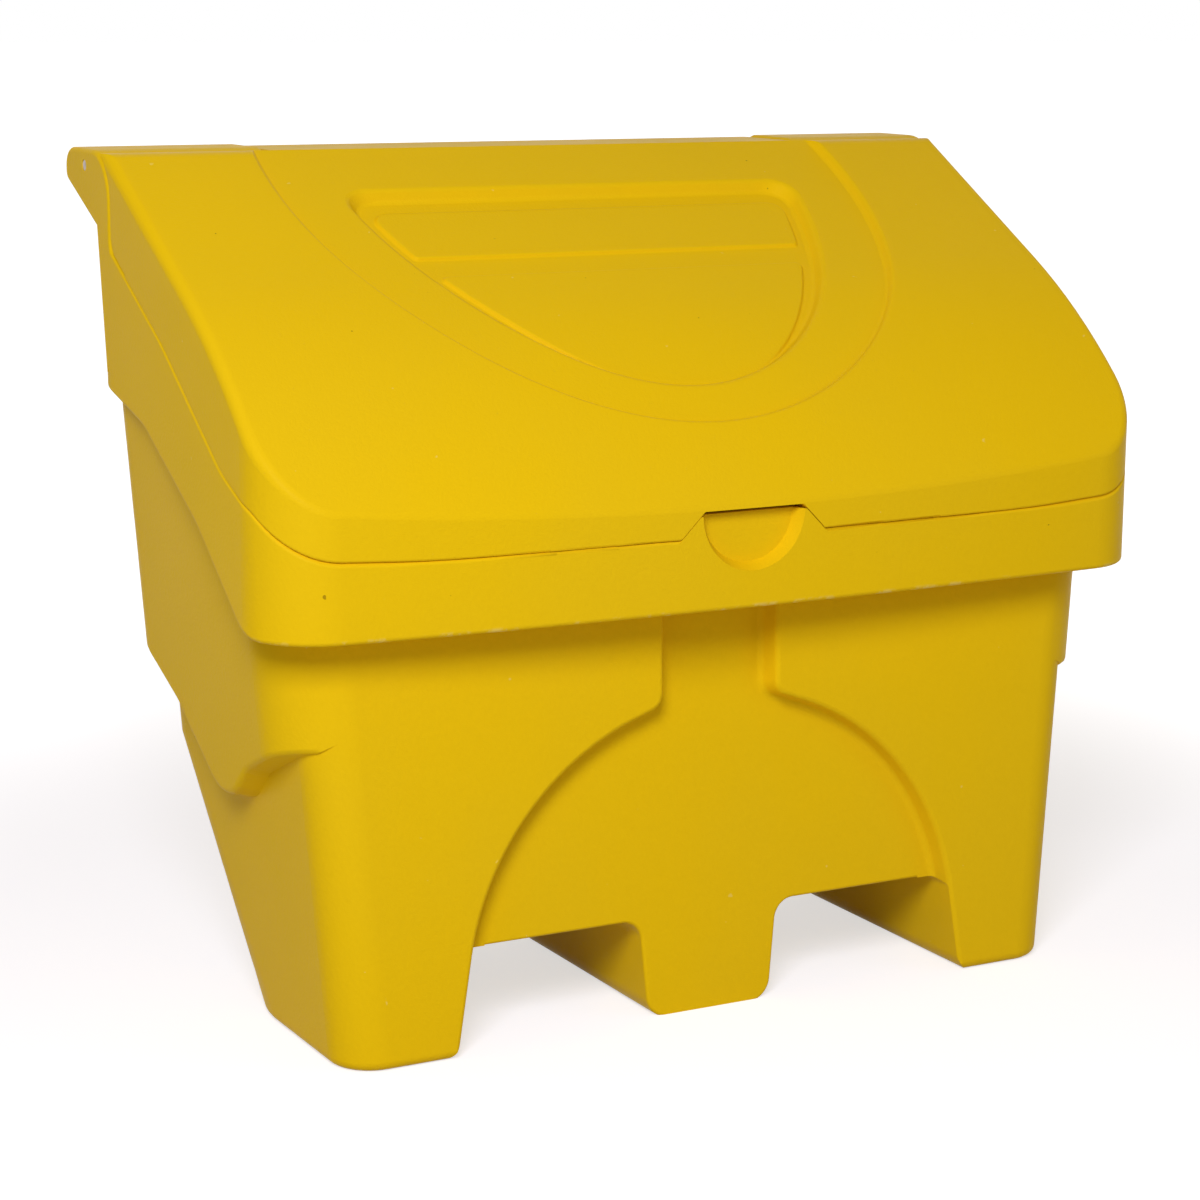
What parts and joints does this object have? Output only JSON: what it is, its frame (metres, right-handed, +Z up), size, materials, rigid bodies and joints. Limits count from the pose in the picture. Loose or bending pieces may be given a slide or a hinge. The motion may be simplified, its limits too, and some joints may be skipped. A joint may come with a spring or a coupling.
{
  "type": "grit salt bin",
  "caption": "Hollow moulded grit bin with a sloping hinged lid, stepped tub, fork slots through the base and a bowed front rim.",
  "frame": {"origin": "on the ground, in the middle of the part's bounding box seen from above", "axes": "+X to the bin's left as it faces out, that is to the right of someone who stands in front of it; -Y out of the front; +Z up"},
  "size_m": [1, 0.562, 0.862],
  "materials": {
    "yellow_polyethylene": "satin, fine orange-peel grain",
    "galvanised_steel": "dull zinc",
    "spring_steel": "bright"
  },
  "bodies": {
    "bin": {"tub": "yellow_polyethylene", "hinge_rod": "galvanised_steel", "washer_left": "spring_steel", "washer_right": "spring_steel"},
    "cover": {"lid": "yellow_polyethylene"}
  },
  "joints": [
    {"name": "lid_hinge", "type": "hinge", "parent": "bin", "child": "cover", "pos_m": [0, 0.221, 0.8453], "axis": [-1, 0, 0], "range_deg": [0, 114]}
  ]
}
